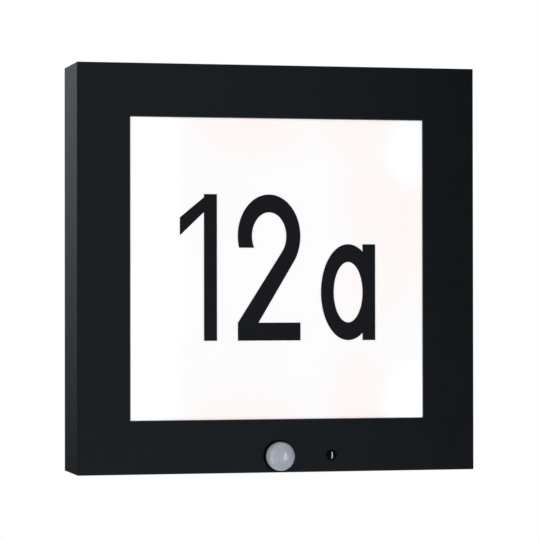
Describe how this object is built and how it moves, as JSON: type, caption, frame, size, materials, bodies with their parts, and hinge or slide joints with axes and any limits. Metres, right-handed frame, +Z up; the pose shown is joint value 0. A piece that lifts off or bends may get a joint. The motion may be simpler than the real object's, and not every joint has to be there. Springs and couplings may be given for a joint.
{
  "type": "illuminated house number sign",
  "caption": "Square wall light with a lit opal number panel in a dark box frame, a movement sensor dome and a dusk sensor below it, and a wall bracket behind.",
  "frame": {"origin": "centre of the wall face, on the rear face of the wall bracket", "axes": "+Z up, +Y into the wall, +X to the right as seen from in front, so the sign faces -Y"},
  "size_m": [0.26, 0.0637, 0.26],
  "materials": {
    "powder_coat": "fine matt anthracite powder coat",
    "cover_plastic": "matte",
    "seal_rubber": "matte",
    "opal_panel": "satin",
    "foil_black": "satin",
    "reflector_white": "satin",
    "board_white": "satin",
    "led_phosphor": "satin",
    "chassis_sheet": "satin",
    "driver_plastic": "matte",
    "board_green": "satin",
    "ferrite": "matte",
    "winding_tape": "gloss",
    "capacitor_sleeve": "gloss",
    "plug_nylon": "satin",
    "chip_black": "matte",
    "screw_steel": "satin",
    "lead_brown": "satin",
    "lead_blue": "satin",
    "lead_earth": "satin",
    "lead_thin": "satin",
    "tinned_brass": "satin",
    "terminal_nylon": "satin",
    "sensor_lens": "satin",
    "dusk_black": "gloss",
    "detector_can": "gloss",
    "trimmer_blue": "satin",
    "dial_grey": "satin",
    "zinc_steel": "satin"
  },
  "bodies": {
    "bracket": {"wall_bracket": "zinc_steel"},
    "luminaire": {"housing": "powder_coat", "window_gasket": "seal_rubber", "diffuser_panel": "opal_panel", "number_figure_one": "foil_black", "number_figure_two": "foil_black", "number_letter_a": "foil_black", "reflector_frame": "reflector_white", "led_board": "board_white", "led_packages": "led_phosphor", "led_connector": "plug_nylon", "led_board_screws": "screw_steel", "chassis_plate": "chassis_sheet", "chassis_screws": "screw_steel", "driver_case": "driver_plastic", "driver_cover": "driver_plastic", "driver_board": "board_green", "driver_transformer_core": "ferrite", "driver_transformer_winding": "winding_tape", "driver_capacitors": "capacitor_sleeve", "driver_connectors": "plug_nylon", "driver_screws": "screw_steel", "live_lead": "lead_brown", "neutral_lead": "lead_blue", "earth_lead": "lead_earth", "led_leads": "lead_thin", "sensor_leads": "lead_thin", "lead_clips": "terminal_nylon", "earth_tag": "tinned_brass", "earth_screw": "screw_steel", "motion_lens": "sensor_lens", "lens_seal": "seal_rubber", "dusk_lens": "dusk_black", "sensor_holder": "cover_plastic", "sensor_board": "board_green", "sensor_screws": "screw_steel", "motion_detector": "detector_can", "dusk_detector": "dusk_black", "sensor_components": "chip_black", "sensor_trimmers": "trimmer_blue", "dial_seals": "seal_rubber", "back_cover": "cover_plastic", "cover_seal": "seal_rubber", "cover_screws": "screw_steel", "terminal_block": "terminal_nylon", "terminal_screws": "tinned_brass", "terminal_lid": "cover_plastic", "lid_seal": "seal_rubber", "lid_screws": "screw_steel", "cable_grommet": "seal_rubber", "lead_bushing": "seal_rubber", "grub_screws": "screw_steel"},
    "time_dial": {"time_dial": "dial_grey", "time_rotor": "plug_nylon"},
    "lux_dial": {"lux_dial": "dial_grey", "lux_rotor": "plug_nylon"}
  },
  "joints": [
    {"name": "wall_release", "type": "slide", "parent": "bracket", "child": "luminaire", "axis": [0, -1, 0], "range_m": [0, 0.06]},
    {"name": "time_setting", "type": "hinge", "parent": "luminaire", "child": "time_dial", "pos_m": [-0.014, -0.012, -0.1166], "axis": [0, 1, 0], "range_deg": [-135, 135]},
    {"name": "lux_setting", "type": "hinge", "parent": "luminaire", "child": "lux_dial", "pos_m": [0.014, -0.012, -0.1166], "axis": [0, 1, 0], "range_deg": [-135, 135]}
  ]
}
